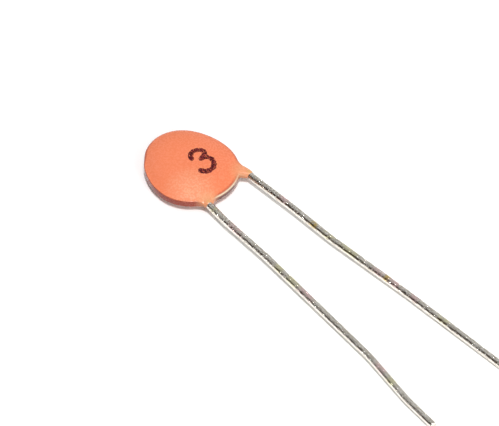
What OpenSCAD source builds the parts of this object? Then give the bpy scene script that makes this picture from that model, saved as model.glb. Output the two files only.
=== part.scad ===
// Ceramic disc capacitor with two straight wire leads, lying on its coated face.
// All sizes are in millimetres and all turns in degrees.
// +X runs with the leads, away from the disc. +Z is up, square to the disc's faces.
// The origin is under the middle of the whole part, on the surface it lies on.

/* [Ceramic] */
// Radius of the ceramic disc
ceramic_radius = 2.4; // [2:0.05:4]
// Thickness of the ceramic disc
ceramic_height = 0.24; // [0.2:0.02:1]
// Bevel round both edges of the ceramic
ceramic_bevel = 0.04; // [0.01:0.01:0.08]

/* [Electrodes and solder] */
// Bare rim of ceramic left round each fired silver film
electrode_margin = 0.2; // [0.1:0.05:0.4]
// Thickness of each silver film
film_height = 0.015; // [0.01:0.005:0.05]
// Solder between a film and the flat end of a lead
solder_bond = 0.02; // [0.02:0.01:0.08]
// Solder over and beside the flat end
solder_skin = 0.03; // [0.02:0.01:0.08]
// How far the concave solder fillet spreads over the film
solder_spread = 0.12; // [0.05:0.01:0.2]
// Bare silver left between the solder and the film's edge
solder_inset = 0.15; // [0.05:0.01:0.3]

/* [Wire] */
// Diameter of the tinned wire
wire_diameter = 0.5; // [0.4:0.05:0.6]
// Width of the end that is pressed flat
blade_width = 0.76; // [0.6:0.02:0.9]
// Thickness of the end that is pressed flat
blade_height = 0.24; // [0.16:0.02:0.3]
// Length of the end that is pressed flat
blade_length = 2.6; // [2.2:0.1:3]
// Length over which the wire steps from round to flat
step_length = 0.4; // [0.3:0.05:0.6]
// Gap between the ceramic's edge and the flat end of that step
step_gap = 0.06; // [0.04:0.01:0.3]
// Chamfer on the cut tip of each lead
tip_chamfer = 0.04; // [0.01:0.01:0.08]

/* [Lead layout] */
// Distance between the leads where they leave the coating
lead_spacing = 3.6; // [3.4:0.05:3.8]
// How far the middle of the pair sits to the left of the disc's middle
lead_shift = 0.67; // [0.5:0.01:0.8]
// Straight run from the step to the tight bend inside the collar
root_run = 0.15; // [0.1:0.05:0.3]
// Radius of that tight bend
gather_radius = 0.7; // [0.5:0.05:1]
// Radius of the slight bends along the free leads
stray_radius = 12; // [6:1:20]

/* [Left lead] */
// Heading of the left lead where it leaves the coating
left_heading = 3.7; // [0:0.1:6]
// Turn inside the collar that brings its flat end to the disc's middle
left_gather = 45; // [40:1:50]
// Length of the resin collar, from the step to its end on the wire
left_collar = 1.08; // [1:0.01:2]
// Straight run before the first slight bend
left_run_1 = 4.2; // [2:0.1:8]
// Turn of the first slight bend, to the right
left_turn_1 = 1.6; // [0.2:0.1:6]
// Straight run before the second slight bend
left_run_2 = 2.8; // [1:0.1:8]
// Turn of the second slight bend, to the left
left_turn_2 = 3.2; // [0.2:0.1:6]
// Straight run before the third slight bend
left_run_3 = 6.2; // [1:0.1:10]
// Turn of the third slight bend, to the right
left_turn_3 = 1.4; // [0.2:0.1:6]
// Straight run from the last bend to the tip
left_tail = 9; // [2:0.1:20]

/* [Right lead] */
// Turn to the right of the right lead where it leaves the coating
right_heading = 3.7; // [0:0.1:6]
// Turn inside the collar that brings its flat end to the disc's middle
right_gather = 19; // [15:1:24]
// Length of the resin collar, from the step to its end on the wire
right_collar = 0.4; // [0.4:0.01:2]
// Straight run before the first slight bend
right_run_1 = 1.4; // [1.2:0.1:8]
// Turn of the first slight bend, to the left
right_turn_1 = 3.3; // [0.2:0.1:6]
// Straight run before the second slight bend
right_run_2 = 3.2; // [1:0.1:8]
// Turn of the second slight bend, to the right
right_turn_2 = 2.5; // [0.2:0.1:6]
// Straight run before the third slight bend
right_run_3 = 9.9; // [1:0.1:12]
// Turn of the third slight bend, to the right
right_turn_3 = 5.1; // [0.2:0.1:6]
// Straight run before the fourth slight bend
right_run_4 = 3.3; // [1:0.1:8]
// Turn of the fourth slight bend, to the left
right_turn_4 = 5; // [0.2:0.1:6]
// Straight run from the last bend to the tip
right_tail = 2.2; // [2:0.1:20]

/* [Coating] */
// Resin beyond the edge of the ceramic, on average
coat_side = 0.66; // [0.6:0.01:1.2]
// Resin over the solder at the middle of each face
coat_cover = 0.175; // [0.15:0.005:0.4]
// Resin on the wire along each collar
collar_wall = 0.03; // [0.03:0.01:0.06]
// How far the dipped outline is longer one way than across it
coat_stretch = 0.135; // [0:0.005:0.2]
// Direction of that longer axis
coat_stretch_turn = 1; // [-10:1:10]
// Height of the three shallow lobes in the dipped outline
coat_lobe = 0.09; // [0:0.005:0.1]
// Direction of the first lobe
coat_lobe_turn = 54; // [0:1:119]
// How far the dipped outline is off the ceramic's middle, away from the leads
coat_shift = 0.11; // [0:0.01:0.15]
// How far it is off to the left
coat_drift = 0.03; // [0:0.01:0.1]
// Direction of the first flat stretch of the edge
flat_1_turn = 269.5; // [255:0.5:280]
// Resin left beyond the ceramic at the first flat stretch
flat_1_side = 0.57; // [0.4:0.01:0.6]
// Direction of the second flat stretch of the edge
flat_2_turn = 226; // [215:0.5:240]
// Resin left beyond the ceramic at the second flat stretch
flat_2_side = 0.57; // [0.4:0.01:0.7]
// Radius of the coating's crisp edge
rim_round = 0.15; // [0.08:0.01:0.2]
// How full the faces are: a higher power is flatter in the middle
face_power = 4; // [3.5:0.5:6]
// Width over which a collar flows into the disc
collar_blend = 0.8; // [0.7:0.05:1]

/* [Hidden] */
$fn = 64;

// Levels above and below the middle of the ceramic's thickness
wire_radius = wire_diameter / 2;
ceramic_level = ceramic_height / 2;
film_level = ceramic_level + film_height;
blade_level = film_level + solder_bond;
solder_level = blade_level + blade_height + solder_skin;
mid_level = solder_level + coat_cover;
rim_height = wire_diameter + 2 * collar_wall;

// Solder fillet beside the flat end
electrode_radius = ceramic_radius - electrode_margin;
blade_half = blade_width / 2;
fillet_top = blade_half + solder_skin;
fillet_foot = fillet_top + solder_spread;
fillet_steps = 5;

// Distance of each lead's root from the ceramic's axis
root_radius = ceramic_radius + step_gap + step_length;

// Hairs by which a meeting section is drawn in and a bend is swelled, and the overlap of such parts
hair = 0.004;
swell = 0.001;
slice = 0.02;

// Outline of the coating: mean radius, softness of its corners and of its shoulder
coat_radius = ceramic_radius + coat_side;
flat_soft = 0.06;
shoulder_soft = 0.12;

function heading(turn) = [cos(turn), sin(turn)];

// A route is a list of bends, each a straight run, a turn (left is positive) and its radius.
function bend_end(start, turn, bend, part) =
    let (side = sign(bend[1]), swept = abs(bend[1]) * part)
    start + bend[2] * (sin(swept) * heading(turn) + side * (1 - cos(swept)) * heading(turn + 90));
function arc_length(bend) = bend[2] * abs(bend[1]) * PI / 180;

// Point at a distance along a route that sets out from a start at a turn
function along(start, turn, route, distance, i = 0) =
    i == len(route) || distance <= route[i][0] ? start + distance * heading(turn) :
    let (bend = route[i],
         entry = start + bend[0] * heading(turn),
         beyond = distance - bend[0],
         arc = arc_length(bend))
    beyond < arc ? bend_end(entry, turn, bend, beyond / arc) :
    along(bend_end(entry, turn, bend, 1), turn + bend[1], route, beyond - arc, i + 1);
function route_length(route, i = 0) =
    i == len(route) ? 0 : route[i][0] + arc_length(route[i]) + route_length(route, i + 1);
function route_turn(route, i = 0) = i == len(route) ? 0 : route[i][1] + route_turn(route, i + 1);

// Routes of the two leads from their roots
left_route = [[root_run, -left_gather, gather_radius],
              [left_run_1, -left_turn_1, stray_radius],
              [left_run_2, left_turn_2, stray_radius],
              [left_run_3, -left_turn_3, stray_radius]];
right_route = [[root_run, right_gather, gather_radius],
               [right_run_1, right_turn_1, stray_radius],
               [right_run_2, -right_turn_2, stray_radius],
               [right_run_3, -right_turn_3, stray_radius],
               [right_run_4, right_turn_4, stray_radius]];

// A root sits on its own circle, where it brings the lead out at its place in the pair
function root_at(exit_y, turn, route) =
    let (y = exit_y - along([0, 0], turn, route, root_run + arc_length(route[0])).y)
    [sqrt(pow(root_radius, 2) - pow(y, 2)), y];

// A lead: face it is soldered to (1 top, -1 bottom), root, turn at the root, route, tail, collar
left_root_turn = left_heading + left_gather;
right_root_turn = -right_heading - right_gather;
left = [1, root_at(lead_shift + lead_spacing / 2, left_root_turn, left_route),
        left_root_turn, left_route, left_tail, left_collar];
right = [-1, root_at(lead_shift - lead_spacing / 2, right_root_turn, right_route),
         right_root_turn, right_route, right_tail, right_collar];

// Free tip of a lead, and the slope that brings it down to the surface
function tip(lead) = along(lead[1], lead[2], lead[3], route_length(lead[3]) + lead[4]);
function tip_turn(lead) = lead[2] + route_turn(lead[3]);
function slope(lead) = asin((mid_level - wire_radius) / ((tip(lead) - lead[1]).x - tip_chamfer));

// Depth of a point inside the coating's outline: 0 on the outline, positive inside it
function soft_max(a, b, width) = max(a, b) + pow(max(width - abs(a - b), 0), 2) / (4 * width);
function soft_min(a, b, width) = -soft_max(-a, -b, width);
function dipped_radius(turn) = coat_radius + coat_stretch * cos(2 * (turn - coat_stretch_turn))
    + coat_lobe * cos(3 * (turn - coat_lobe_turn));
function flat_depth(point, turn, side) = ceramic_radius + side - point * heading(turn);
function disc_depth(point) =
    let (p = point + [coat_shift, -coat_drift],
         free = dipped_radius(atan2(p.y, p.x)) - norm(p),
         cut = soft_min(free, flat_depth(p, flat_1_turn, flat_1_side), flat_soft))
    soft_min(cut, flat_depth(p, flat_2_turn, flat_2_side), flat_soft);

// A collar follows its lead: round the bend, then along the flat end towards the middle
collar_steps = 3;
collar_nose = sqrt(pow(rim_height / 2, 2) - pow(wire_radius, 2));
function collar_path(lead) = concat(
    [for (i = [collar_steps : -1 : 0])
        along(lead[1], lead[2], lead[3], (lead[5] - collar_nose) * i / collar_steps)],
    [lead[1] - (step_length + blade_length / 2) * heading(lead[2])]);
left_path = collar_path(left);
right_path = collar_path(right);
function stretch_depth(point, from, to) =
    let (run = to - from, part = max(0, min(1, (point - from) * run / (run * run))))
    rim_height / 2 - norm(point - from - part * run);
function path_depth(point, path) =
    max([for (i = [0 : len(path) - 2]) stretch_depth(point, path[i], path[i + 1])]);
function collars_depth(point) = max(path_depth(point, left_path), path_depth(point, right_path));
function coat_depth(point) = soft_max(disc_depth(point), collars_depth(point), collar_blend);
function collar_share(point) =
    max(0, min(1, 0.5 + (collars_depth(point) - disc_depth(point)) / collar_blend));

// Distance from the axis at which the coating is a given depth inside its outline
march = 0.15;
function reach(turn, depth, inner, outer, steps) =
    let (middle = (inner + outer) / 2)
    steps == 0 ? middle :
    coat_depth(middle * heading(turn)) > depth ? reach(turn, depth, middle, outer, steps - 1) :
    reach(turn, depth, inner, middle, steps - 1);
function outer_reach(turn, depth, from) =
    coat_depth(from * heading(turn)) > depth ? reach(turn, depth, from, from + march, 12) :
    outer_reach(turn, depth, from - march);
farthest = max(norm(left_path[0]), norm(right_path[0])) + rim_height;

// Height of a face over the flat band inside the coating's crisp edge
function face_rise(point) =
    let (inside = soft_max(disc_depth(point) - shoulder_soft, 0, shoulder_soft),
         share = max(0, 1 - inside / (coat_radius - shoulder_soft)))
    (mid_level - rim_height / 2) * (1 - pow(share, face_power));

// The outline is cut more finely where it runs round the end of a collar
coarse_turn = 6;
middle_turn = 3;
fine_turn = 1.2;
fine_sector = 12;
left_bearing = round(atan2(left_path[0].y, left_path[0].x));
right_bearing = round(atan2(right_path[0].y, right_path[0].x));
function stepped(from, to, step) =
    let (count = ceil((to - from) / step)) [for (i = [0 : count - 1]) from + (to - from) * i / count];
coat_turns = concat(
    stepped(right_bearing - fine_sector, right_bearing + fine_sector, fine_turn),
    stepped(right_bearing + fine_sector, left_bearing - fine_sector, middle_turn),
    stepped(left_bearing - fine_sector, left_bearing + fine_sector, fine_turn),
    stepped(left_bearing + fine_sector, right_bearing - fine_sector + 360, coarse_turn));
coat_edge = [for (turn = coat_turns) outer_reach(turn, 0, farthest) * heading(turn)];

// One column of points, from the edge of the coating over its rounding to near the middle
round_steps = 4;
face_rings = 6;
ring_power = 1.4;
column_size = round_steps + 1 + face_rings;
function coat_column(turn, edge) =
    let (rounding = rim_round + (rim_height / 2 - hair - rim_round) * collar_share(edge),
         depths = [for (i = [1 : round_steps]) rounding * (1 - cos(90 * i / round_steps))],
         inner = [for (depth = depths) outer_reach(turn, depth, norm(edge)) * heading(turn)],
         rounded = concat([edge], inner),
         last = rounded[round_steps],
         lift = rim_height / 2 - rounding)
    concat(
        [for (i = [0 : round_steps])
            let (p = rounded[i]) [p.x, p.y, lift + rounding * sin(90 * i / round_steps) + face_rise(p)]],
        [for (i = [1 : face_rings])
            let (p = last * (1 - pow(i / (face_rings + 1), ring_power)))
            [p.x, p.y, rim_height / 2 + face_rise(p)]]);

// Middle of the part's box, from the coating's edge and the tips of the leads
function tip_x(lead) = lead[1].x + (tip(lead) - lead[1]).x * cos(slope(lead))
    + (wire_radius - tip_chamfer) * abs(sin(tip_turn(lead)));
function tip_y(lead) = tip(lead).y + wire_radius * cos(tip_turn(lead)) - tip_chamfer * sin(tip_turn(lead));
box_x = [min([for (p = coat_edge) p.x]), max(tip_x(left), tip_x(right))];
box_y = [min([for (p = coat_edge) p.y]), tip_y(left)];
centre = [(box_x[0] + box_x[1]) / 2, (box_y[0] + box_y[1]) / 2];

module placed() translate([-centre.x, -centre.y, mid_level]) children();

module on_face(face) mirror([0, 0, face < 0 ? 1 : 0]) children();

module rod(from, to)
    translate([from, 0, 0]) rotate([0, 90, 0]) cylinder(r = wire_radius, h = to - from);

module elbow(turn, radius)
    mirror([0, turn < 0 ? 1 : 0, 0])
        translate([0, radius, 0])
            rotate([0, 0, -90])
                rotate_extrude(angle = abs(turn))
                    translate([radius, 0]) circle(r = wire_radius + swell);

// Round wire along a route from its root, then straight to its tip
module wire(route, tail, i = 0) {
    back = i == 0 ? 0 : slice;
    if (i < len(route)) {
        bend = route[i];
        far = bend_end([0, 0], 0, bend, 1);
        rod(-back, bend[0] + slice);
        translate([bend[0], 0, 0]) {
            elbow(bend[1], bend[2]);
            translate([far.x, far.y, 0]) rotate([0, 0, bend[1]]) wire(route, tail, i + 1);
        }
    } else {
        rod(-back, tail - tip_chamfer);
        translate([tail - tip_chamfer, 0, 0])
            rotate([0, 90, 0])
                cylinder(r1 = wire_radius, r2 = wire_radius - tip_chamfer, h = tip_chamfer);
    }
}

// Frame at a lead's root, with +X along the wire, drooping for the round part only
module at_root(lead, droop)
    translate([lead[1].x, lead[1].y, 0]) rotate([0, droop, 0]) rotate([0, 0, lead[2]]) children();

// Flat end of a lead, level, with a round tip
module blade()
    translate([-step_length, 0, blade_level])
        linear_extrude(height = blade_height) {
            translate([blade_half - blade_length, -blade_half])
                square([blade_length - blade_half, blade_width]);
            translate([blade_half - blade_length, 0]) circle(r = blade_half);
        }

// The wire steps from its round section up or down to the flat end
module step(lead)
    hull() {
        at_root(lead, slope(lead))
            rotate([0, 90, 0]) cylinder(r = wire_radius - hair, h = slice, $fn = 32);
        at_root(lead, 0)
            on_face(lead[0])
                translate([-step_length - slice, hair - blade_half, blade_level + hair])
                    cube([slice, blade_width - 2 * hair, blade_height - 2 * hair]);
    }

module lead_solid(lead, route, tail) {
    at_root(lead, slope(lead)) wire(route, tail);
    step(lead);
    at_root(lead, 0) on_face(lead[0]) blade();
}

// Solder mound over the flat end: a concave fillet all round, with half-round ends
module fillet_half()
    polygon(concat([[0, film_level]],
        [for (i = [0 : fillet_steps])
            [fillet_foot - solder_spread * sin(90 * i / fillet_steps),
             film_level + (solder_level - film_level) * (1 - cos(90 * i / fillet_steps))]],
        [[0, solder_level]]));

module mound(lead) {
    inward = heading(lead[2]) * lead[1];
    allowed = electrode_radius - solder_inset - fillet_foot;
    outer = inward - sqrt(pow(inward, 2) - pow(root_radius, 2) + pow(allowed, 2));
    long = step_length + blade_length - blade_half - outer;
    at_root(lead, 0)
        on_face(lead[0])
            translate([-outer, 0, 0]) {
                rotate([0, 0, -90]) rotate_extrude(angle = 180) fillet_half();
                rotate([90, 0, -90])
                    linear_extrude(height = long) {
                        fillet_half();
                        mirror([1, 0]) fillet_half();
                    }
                translate([-long, 0, 0]) rotate([0, 0, 90]) rotate_extrude(angle = 180) fillet_half();
            }
}

module solder(lead)
    difference() {
        mound(lead);
        at_root(lead, 0) on_face(lead[0]) blade();
    }

module film(face)
    on_face(face) translate([0, 0, ceramic_level]) cylinder(r = electrode_radius, h = film_height);

module ceramic()
    rotate_extrude()
        polygon([[0, -ceramic_level], [ceramic_radius - ceramic_bevel, -ceramic_level],
                 [ceramic_radius, ceramic_bevel - ceramic_level],
                 [ceramic_radius, ceramic_level - ceramic_bevel],
                 [ceramic_radius - ceramic_bevel, ceramic_level], [0, ceramic_level]]);

// Whole dipped body: rings of points from the edge to the middle, the same above and below
module envelope() {
    count = len(coat_turns);
    columns = [for (i = [0 : count - 1]) coat_column(coat_turns[i], coat_edge[i])];
    middle_height = rim_height / 2 + face_rise([0, 0]);
    points = concat(
        [for (column = columns) each column],
        [for (column = columns) for (p = column) [p.x, p.y, -p.z]],
        [[0, 0, middle_height], [0, 0, -middle_height]]);
    low = count * column_size;
    high_middle = 2 * low;
    function next(i) = (i + 1) % count;
    function at(i, k) = i * column_size + k;
    bands = [for (i = [0 : count - 1]) for (k = [0 : column_size - 2])
        [at(i, k), at(next(i), k), at(next(i), k + 1), at(i, k + 1)]];
    rims = [for (i = [0 : count - 1]) [at(i, 0), at(next(i), 0)]];
    caps = [for (i = [0 : count - 1]) [at(i, column_size - 1), at(next(i), column_size - 1)]];
    faces = concat(
        [for (q = bands) each [[q[0], q[2], q[1]], [q[0], q[3], q[2]]]],
        [for (q = bands) each [[q[0] + low, q[1] + low, q[2] + low], [q[0] + low, q[2] + low, q[3] + low]]],
        [for (e = rims) each [[e[0], e[1], e[1] + low], [e[0], e[1] + low, e[0] + low]]],
        [for (e = caps) each [[e[0], high_middle, e[1]], [e[0] + low, e[1] + low, high_middle + 1]]]);
    polyhedron(points = points, faces = faces);
}

module ceramic_disc() color([0.82, 0.78, 0.68]) placed() ceramic();

module top_electrode() color([0.80, 0.80, 0.78]) placed() film(1);

module bottom_electrode() color([0.80, 0.80, 0.78]) placed() film(-1);

module top_solder() color([0.62, 0.63, 0.65]) placed() solder(left);

module bottom_solder() color([0.62, 0.63, 0.65]) placed() solder(right);

module left_lead() color([0.70, 0.69, 0.67]) placed() lead_solid(left, left_route, left_tail);

module right_lead() color([0.70, 0.69, 0.67]) placed() lead_solid(right, right_route, right_tail);

// The coating is cast round everything it holds
module coating()
    color([0.88, 0.42, 0.22])
        placed()
            difference() {
                envelope();
                ceramic();
                film(1);
                film(-1);
                mound(left);
                mound(right);
                lead_solid(left, [left_route[0]], left_run_1);
                lead_solid(right, [right_route[0]], right_run_1);
            }

ceramic_disc();
top_electrode();
bottom_electrode();
top_solder();
bottom_solder();
left_lead();
right_lead();
coating();
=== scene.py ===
"""Dresses a ceramic disc capacitor: its dipped coat, tinned leads, stamped figure and studio."""

import logging
import math
from dataclasses import dataclass, field
from enum import Enum
from typing import Callable, Optional, Union

import bmesh
import bpy
from mathutils import Matrix, Vector, noise


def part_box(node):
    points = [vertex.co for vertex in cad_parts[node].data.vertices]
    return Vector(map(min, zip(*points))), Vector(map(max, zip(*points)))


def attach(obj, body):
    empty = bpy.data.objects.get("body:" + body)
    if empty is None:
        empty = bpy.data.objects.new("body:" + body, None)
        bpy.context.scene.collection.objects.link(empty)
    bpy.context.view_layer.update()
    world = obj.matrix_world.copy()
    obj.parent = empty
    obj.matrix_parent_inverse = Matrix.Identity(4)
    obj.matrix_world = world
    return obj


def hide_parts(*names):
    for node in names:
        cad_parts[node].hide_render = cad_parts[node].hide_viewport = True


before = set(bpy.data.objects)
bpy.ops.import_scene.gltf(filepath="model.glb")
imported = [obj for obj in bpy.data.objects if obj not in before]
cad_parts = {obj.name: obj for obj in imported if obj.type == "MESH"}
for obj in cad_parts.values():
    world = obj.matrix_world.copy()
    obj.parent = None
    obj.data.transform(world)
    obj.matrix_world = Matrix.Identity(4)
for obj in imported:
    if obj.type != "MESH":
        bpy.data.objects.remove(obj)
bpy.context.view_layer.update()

LOG = logging.getLogger("dressing")
MM = 0.001
Socket = bpy.types.NodeSocket
Value = Union[float, int, tuple, Socket]


def heading(turn: float) -> Vector:
    """Unit vector in the plane of the disc at a turn in degrees."""
    return Vector((math.cos(math.radians(turn)), math.sin(math.radians(turn))))


def soft_max(first: float, second: float, width: float) -> float:
    """Larger of two lengths, rounded over a width where they are close."""
    return max(first, second) + max(width - abs(first - second), 0.0) ** 2 / (4 * width)


def soft_min(first: float, second: float, width: float) -> float:
    """Smaller of two lengths, rounded over a width where they are close."""
    return -soft_max(-first, -second, width)


def blend(first: float, second: float, share: float) -> float:
    """Value between two others.

    Args:
        first: Value at a share of 0.
        second: Value at a share of 1.
        share: How far to go, held between 0 and 1.

    Returns:
        The value in between.
    """
    held = max(0.0, min(1.0, share))
    return first + (second - first) * held


class Side(Enum):
    """Face of the ceramic that a lead is soldered to."""

    TOP = 1
    BOTTOM = -1


@dataclass(frozen=True)
class Levels:
    """Heights over the middle of the ceramic and the sizes shared by coat and leads, in mm."""

    wire_radius: float = 0.25
    blade_low: float = 0.155
    blade_high: float = 0.395
    face: float = 0.6
    rim: float = 0.28
    ceramic_radius: float = 2.4
    step_length: float = 0.4
    blade_length: float = 2.6
    blade_half: float = 0.38
    root_radius: float = 2.86


@dataclass(frozen=True)
class Bend:
    """Straight run, then a turn (left is positive) round a radius."""

    run: float
    turn: float
    radius: float

    @property
    def arc(self) -> float:
        """Length of the bent part."""
        return self.radius * math.radians(abs(self.turn))


@dataclass(frozen=True)
class LeadPlan:
    """Route of one lead in the plane of the disc, from its root beside the ceramic."""

    side: Side
    exit_y: float
    root_turn: float
    bends: tuple[Bend, ...]
    tail: float
    collar: float
    levels: Levels = Levels()

    @property
    def length(self) -> float:
        """Length from the root to the cut tip."""
        return sum(bend.run + bend.arc for bend in self.bends) + self.tail

    def walk(self, distance: float) -> tuple[Vector, float]:
        """Place on the route, measured from the root.

        Args:
            distance: Length along the route, negative for the part inside the coat.

        Returns:
            The place relative to the root, and the heading there in degrees.
        """
        place, turn, left = Vector((0.0, 0.0)), self.root_turn, distance
        for bend in self.bends:
            if left <= bend.run:
                return place + heading(turn) * left, turn
            place = place + heading(turn) * bend.run
            left -= bend.run
            side = math.copysign(1.0, bend.turn)
            swept = math.radians(abs(bend.turn)) * min(1.0, left / bend.arc)
            across = heading(turn + 90)
            place = place + bend.radius * (
                heading(turn) * math.sin(swept) + across * side * (1 - math.cos(swept))
            )
            turn += side * math.degrees(swept)
            left -= bend.arc
            if left <= 0:
                return place, turn
        return place + heading(turn) * left, turn

    @property
    def root(self) -> Vector:
        """Root on its circle, where it brings the lead out at its place in the pair."""
        first = self.bends[0]
        rise = self.walk(first.run + first.arc)[0].y
        y = self.exit_y - rise
        return Vector((math.sqrt(self.levels.root_radius**2 - y * y), y))

    def place(self, distance: float) -> Vector:
        """Place on the route in the plane of the disc."""
        return self.root + self.walk(distance)[0]

    @property
    def droop(self) -> float:
        """Slope, in radians, that brings the tip down to the surface the part lies on."""
        reach = self.walk(self.length)[0].x
        return math.asin((self.levels.face - self.levels.wire_radius) / reach)


LEFT = LeadPlan(
    side=Side.TOP,
    exit_y=2.47,
    root_turn=48.7,
    bends=(Bend(0.15, -45, 0.7), Bend(4.2, -1.6, 12), Bend(2.8, 3.2, 12), Bend(6.2, -1.4, 12)),
    tail=9.0,
    collar=1.08,
)
RIGHT = LeadPlan(
    side=Side.BOTTOM,
    exit_y=-1.13,
    root_turn=-22.7,
    bends=(
        Bend(0.15, 19, 0.7),
        Bend(1.4, 3.3, 12),
        Bend(3.2, -2.5, 12),
        Bend(9.9, -5.1, 12),
        Bend(3.3, 5, 12),
    ),
    tail=2.2,
    collar=0.4,
)


class Sheet:
    """Places and joins the nodes of one material, world or group."""

    def __init__(self, tree: bpy.types.NodeTree) -> None:
        """Keeps the tree and clears it."""
        self.tree = tree
        self.tree.nodes.clear()

    def put(
        self, kind: str, inputs: Optional[dict[Union[str, int], Value]] = None, **settings: object
    ) -> bpy.types.Node:
        """Places one node.

        Args:
            kind: Blender's node type, without its leading ShaderNode.
            inputs: Values or sockets for its inputs, by name or number.
            **settings: Properties of the node.

        Returns:
            The node.
        """
        node = self.tree.nodes.new(kind if kind.startswith("Node") else "ShaderNode" + kind)
        for name, value in settings.items():
            setattr(node, name, value)
        for key, value in (inputs or {}).items():
            if isinstance(value, Socket):
                self.tree.links.new(value, node.inputs[key])
            else:
                node.inputs[key].default_value = value
        return node

    def maths(self, operation: str, first: Value, second: Value = 0.0, third: Value = 0.0) -> Socket:
        """Result of one Math node."""
        return self.put("Math", {0: first, 1: second, 2: third}, operation=operation).outputs[0]

    def mixed(self, share: Value, first: Value, second: Value) -> Socket:
        """Colour between two others."""
        return self.put("Mix", {0: share, 6: first, 7: second}, data_type="RGBA").outputs[2]

    def ramp(self, value: Value, *stops: tuple[float, tuple]) -> Socket:
        """Colour ramp.

        Args:
            value: Factor of the ramp.
            *stops: Position and colour of each stop, in order.

        Returns:
            The ramp's colour.
        """
        node = self.put("ValToRGB", {0: value})
        marks = node.color_ramp.elements
        while len(marks) < len(stops):
            marks.new(1.0)
        for mark, (position, colour) in zip(marks, stops):
            mark.position, mark.color = position, colour
        return node.outputs[0]

    def stretch(
        self, value: Value, low: Value, high: Value, to_low: float = 0.0, to_high: float = 1.0
    ) -> Socket:
        """Value carried from one range to another, held at its ends."""
        return self.put("MapRange", {0: value, 1: low, 2: high, 3: to_low, 4: to_high}).outputs[0]


def grey(level: float) -> tuple[float, float, float, float]:
    """Neutral colour of a level."""
    return (level, level, level, 1.0)


def hexed(red: int, green: int, blue: int) -> tuple[float, float, float, float]:
    """Linear colour of a display colour.

    Args:
        red: Red from 0 to 255.
        green: Green from 0 to 255.
        blue: Blue from 0 to 255.

    Returns:
        The linear colour with full alpha.
    """

    def linear(level: int) -> float:
        """Linear level of one channel."""
        part = level / 255
        return part / 12.92 if part <= 0.04045 else ((part + 0.055) / 1.055) ** 2.4

    return (linear(red), linear(green), linear(blue), 1.0)


class SharedEffects:
    """Node groups that more than one finish uses."""

    def __init__(self) -> None:
        """Builds each group once."""
        patches = {"Vector": None, "Scale": 1.0, "Detail": 3.0, "Low": 0.4, "High": 0.6}
        dots = {"Vector": None, "Scale": 1.0, "Size": 0.1, "Share": 0.5}
        self.mottle = self._group("mottle", patches, self._mottle)
        self.specks = self._group("specks", dots, self._specks)

    @staticmethod
    def _group(
        name: str,
        sockets: dict[str, Optional[float]],
        fill: Callable[[Sheet, bpy.types.Node], Value],
    ) -> bpy.types.NodeTree:
        """Makes one group with named inputs and a mask as its output.

        Args:
            name: Name of the group.
            sockets: Inputs by name, with None for a vector and a number for a value.
            fill: Function that places the nodes and returns the mask.

        Returns:
            The group.
        """
        group = bpy.data.node_groups.new(name, "ShaderNodeTree")
        for label, value in sockets.items():
            kind = "NodeSocketVector" if value is None else "NodeSocketFloat"
            socket = group.interface.new_socket(label, in_out="INPUT", socket_type=kind)
            if value is not None:
                socket.default_value = value
        group.interface.new_socket("Mask", in_out="OUTPUT", socket_type="NodeSocketFloat")
        sheet = Sheet(group)
        start = sheet.put("NodeGroupInput")
        mask = fill(sheet, start)
        sheet.put("NodeGroupOutput", {0: mask})
        return group

    @staticmethod
    def _mottle(sheet: Sheet, start: bpy.types.Node) -> Value:
        """Soft patches: 0 below Low and 1 above High of a noise."""
        given = start.outputs
        wave = sheet.put("TexNoise", {name: given[name] for name in ("Vector", "Scale", "Detail")})
        span = {0: wave.outputs[0], 1: given["Low"], 2: given["High"]}
        return sheet.put("MapRange", span, interpolation_type="SMOOTHSTEP").outputs[0]

    @staticmethod
    def _specks(sheet: Sheet, start: bpy.types.Node) -> Value:
        """Small round dots in a share of the cells."""
        given = start.outputs
        cells = sheet.put("TexVoronoi", {name: given[name] for name in ("Vector", "Scale")})
        near = sheet.stretch(cells.outputs["Distance"], given["Size"], 0.0)
        pick = sheet.put("SeparateColor", {0: cells.outputs["Color"]}).outputs[0]
        chosen = sheet.maths("LESS_THAN", pick, given["Share"])
        return sheet.maths("MULTIPLY", near, chosen)

    def patches(
        self, sheet: Sheet, where: Value, *, scale: float, detail: float, low: float, high: float
    ) -> Socket:
        """Mask of soft patches."""
        return self._place(
            sheet, self.mottle, Vector=where, Scale=scale, Detail=detail, Low=low, High=high
        )

    def dots(self, sheet: Sheet, where: Value, *, scale: float, size: float, share: float) -> Socket:
        """Mask of small round dots."""
        return self._place(sheet, self.specks, Vector=where, Scale=scale, Size=size, Share=share)

    @staticmethod
    def _place(sheet: Sheet, group: bpy.types.NodeTree, **inputs: Value) -> Socket:
        """Puts a group into a material.

        Args:
            sheet: Nodes of the material.
            group: The group.
            **inputs: Values or sockets for its inputs.

        Returns:
            The mask.
        """
        node = sheet.put("Group", node_tree=group)
        for label, value in inputs.items():
            if isinstance(value, Socket):
                sheet.tree.links.new(value, node.inputs[label])
            else:
                node.inputs[label].default_value = value
        return node.outputs[0]


def start_material(name: str) -> tuple[bpy.types.Material, Sheet]:
    """New material with an empty sheet."""
    material = bpy.data.materials.new(name)
    material.use_nodes = True
    return material, Sheet(material.node_tree)


def millimetres(sheet: Sheet) -> Socket:
    """Object coordinates in millimetres."""
    place = sheet.put("TexCoord").outputs["Object"]
    return sheet.put("Mapping", {0: place, 3: (1 / MM,) * 3}).outputs[0]


def finish_material(sheet: Sheet, inputs: dict[Union[str, int], Value]) -> None:
    """Adds the Principled BSDF and the output."""
    shader = sheet.put("BsdfPrincipled", inputs)
    sheet.put("OutputMaterial", {0: shader.outputs[0]})


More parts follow.
